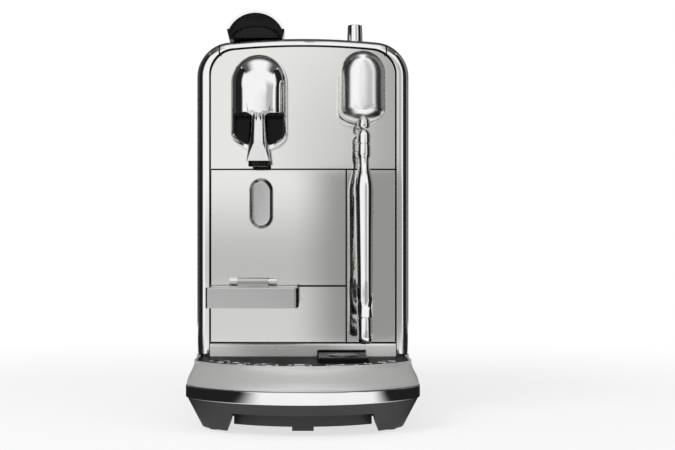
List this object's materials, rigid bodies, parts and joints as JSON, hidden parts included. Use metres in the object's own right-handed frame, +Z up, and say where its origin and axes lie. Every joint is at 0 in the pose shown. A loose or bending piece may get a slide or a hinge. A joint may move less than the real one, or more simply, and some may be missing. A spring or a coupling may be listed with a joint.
{
  "type": "pod coffee machine",
  "caption": "Pod coffee machine with a lift lever, capsule drawer, folding cup support, pull-out drip tray, swinging steam wand and lift-off water tank.",
  "frame": {"origin": "on the table under the middle of the machine's box", "axes": "+Z up, +Y from the front with the coffee outlet to the back with the tank, +X to the right seen from the front"},
  "size_m": [0.17, 0.392, 0.3145],
  "materials": {
    "brushed_panel": "finely brushed stainless sheet",
    "body_steel": "polished stainless skin with a bright front edge",
    "cup_steel": "satin stainless sheet",
    "skirt_steel": "brushed along the length",
    "tray_polish": "polished stainless plate",
    "bright_chrome": "polished chrome plate",
    "satin_chrome": "satin chrome plate",
    "pin_steel": "ground steel",
    "base_plastic": "fine moulded texture",
    "black_gloss": "polished black",
    "sensor_black": "smooth black",
    "foot_rubber": "matt rubber",
    "tank_clear": "clear smoked plastic",
    "tank_lid_plastic": "semi-gloss moulding",
    "inner_plastic": "plain moulding",
    "heater_metal": "cast",
    "pump_metal": "coil with steel yoke",
    "hose_silicone": "translucent silicone",
    "board_green": "solder-resist board"
  },
  "bodies": {
    "machine": {"base_band": "bright_chrome", "base_chassis": "base_plastic", "base_pan": "base_plastic", "base_surround": "skirt_steel", "brew_housing": "inner_plastic", "cable_gland": "foot_rubber", "coffee_heater": "heater_metal", "control_board": "board_green", "control_switches": "inner_plastic", "display_lens": "black_gloss", "display_module": "inner_plastic", "fasteners": "pin_steel", "flow_meter": "inner_plastic", "foot_pads": "foot_rubber", "front_panel": "brushed_panel", "injection_head": "inner_plastic", "inner_frame": "inner_plastic", "jug_sensor_pad": "sensor_black", "left_side_panel": "body_steel", "lower_front_panel": "brushed_panel", "pump_mounts": "foot_rubber", "rear_cover": "base_plastic", "right_side_panel": "body_steel", "spout": "bright_chrome", "spout_housing": "bright_chrome", "spout_liner": "black_gloss", "steam_front_panel": "brushed_panel", "steam_head": "satin_chrome", "steam_heater": "heater_metal", "tank_dock": "base_plastic", "top_cover": "body_steel", "wand_clevis": "bright_chrome", "wand_pin": "pin_steel", "water_hoses": "hose_silicone", "water_pump": "pump_metal"},
    "drip_tray": {"tray_skirt": "skirt_steel", "tray_basin": "base_plastic", "tray_deck": "tray_polish", "tray_ledge": "bright_chrome"},
    "grid": {"drip_grid": "tray_polish"},
    "capsule_drawer": {"capsule_bin": "base_plastic", "bin_door": "brushed_panel", "cup_support_pin": "pin_steel"},
    "cup_platform": {"cup_support": "cup_steel"},
    "lever": {"lever_handle": "black_gloss", "lever_cover": "bright_chrome", "lever_pivot_pin": "pin_steel"},
    "brew_slide": {"brew_carriage": "inner_plastic"},
    "steam_arm": {"wand_knuckle": "bright_chrome", "wand_grip": "bright_chrome", "wand_tube": "bright_chrome", "wand_tip": "bright_chrome"},
    "dial": {"selector_dial": "bright_chrome"},
    "start": {"start_button": "black_gloss"},
    "jug_sensor": {"jug_sensor_disc": "pin_steel"},
    "tank": {"water_tank": "tank_clear", "tank_valve": "tank_lid_plastic", "lid_pin": "pin_steel"},
    "tank_cover": {"tank_lid": "tank_lid_plastic"}
  },
  "joints": [
    {"name": "tray_slide", "type": "slide", "parent": "machine", "child": "drip_tray", "axis": [0, -1, 0], "range_m": [0, 0.13]},
    {"name": "grid_lift", "type": "slide", "parent": "drip_tray", "child": "grid", "axis": [0, 0, 1], "range_m": [0, 0.035]},
    {"name": "drawer_slide", "type": "slide", "parent": "machine", "child": "capsule_drawer", "axis": [0, -1, 0], "range_m": [0, 0.13]},
    {"name": "cup_fold", "type": "hinge", "parent": "capsule_drawer", "child": "cup_platform", "pos_m": [-0.038, -0.079, 0.105], "axis": [-1, 0, 0], "range_deg": [0, 88]},
    {"name": "lever_lift", "type": "hinge", "parent": "machine", "child": "lever", "pos_m": [-0.0365, 0.028, 0.2815], "axis": [-1, 0, 0], "range_deg": [0, 75]},
    {"name": "brew_travel", "type": "slide", "parent": "machine", "child": "brew_slide", "axis": [0, -1, 0], "range_m": [0, 0.0245]},
    {"name": "wand_swing", "type": "hinge", "parent": "machine", "child": "steam_arm", "pos_m": [0.0455, -0.101, 0.2132], "axis": [-1, 0, 0], "range_deg": [0, 55]},
    {"name": "dial_turn", "type": "hinge", "parent": "machine", "child": "dial", "pos_m": [0.0408, -0.049, 0.298], "axis": [0, 0, 1], "continuous": true},
    {"name": "start_press", "type": "slide", "parent": "machine", "child": "start", "axis": [0, 0, -1], "range_m": [0, 0.0012], "stiffness_N_per_m": 400},
    {"name": "sensor_press", "type": "slide", "parent": "machine", "child": "jug_sensor", "axis": [0, 0, -1], "range_m": [0, 0.001], "stiffness_N_per_m": 600},
    {"name": "tank_lift", "type": "slide", "parent": "machine", "child": "tank", "axis": [0, 0, 1], "range_m": [0, 0.24]},
    {"name": "lid_open", "type": "hinge", "parent": "tank", "child": "tank_cover", "pos_m": [0, 0.1914, 0.2714], "axis": [-1, 0, 0], "range_deg": [0, 100]}
  ],
  "couplings": [
    {"joint": "brew_travel", "follows": "lever_lift", "m_per_rad": 0.018602}
  ]
}
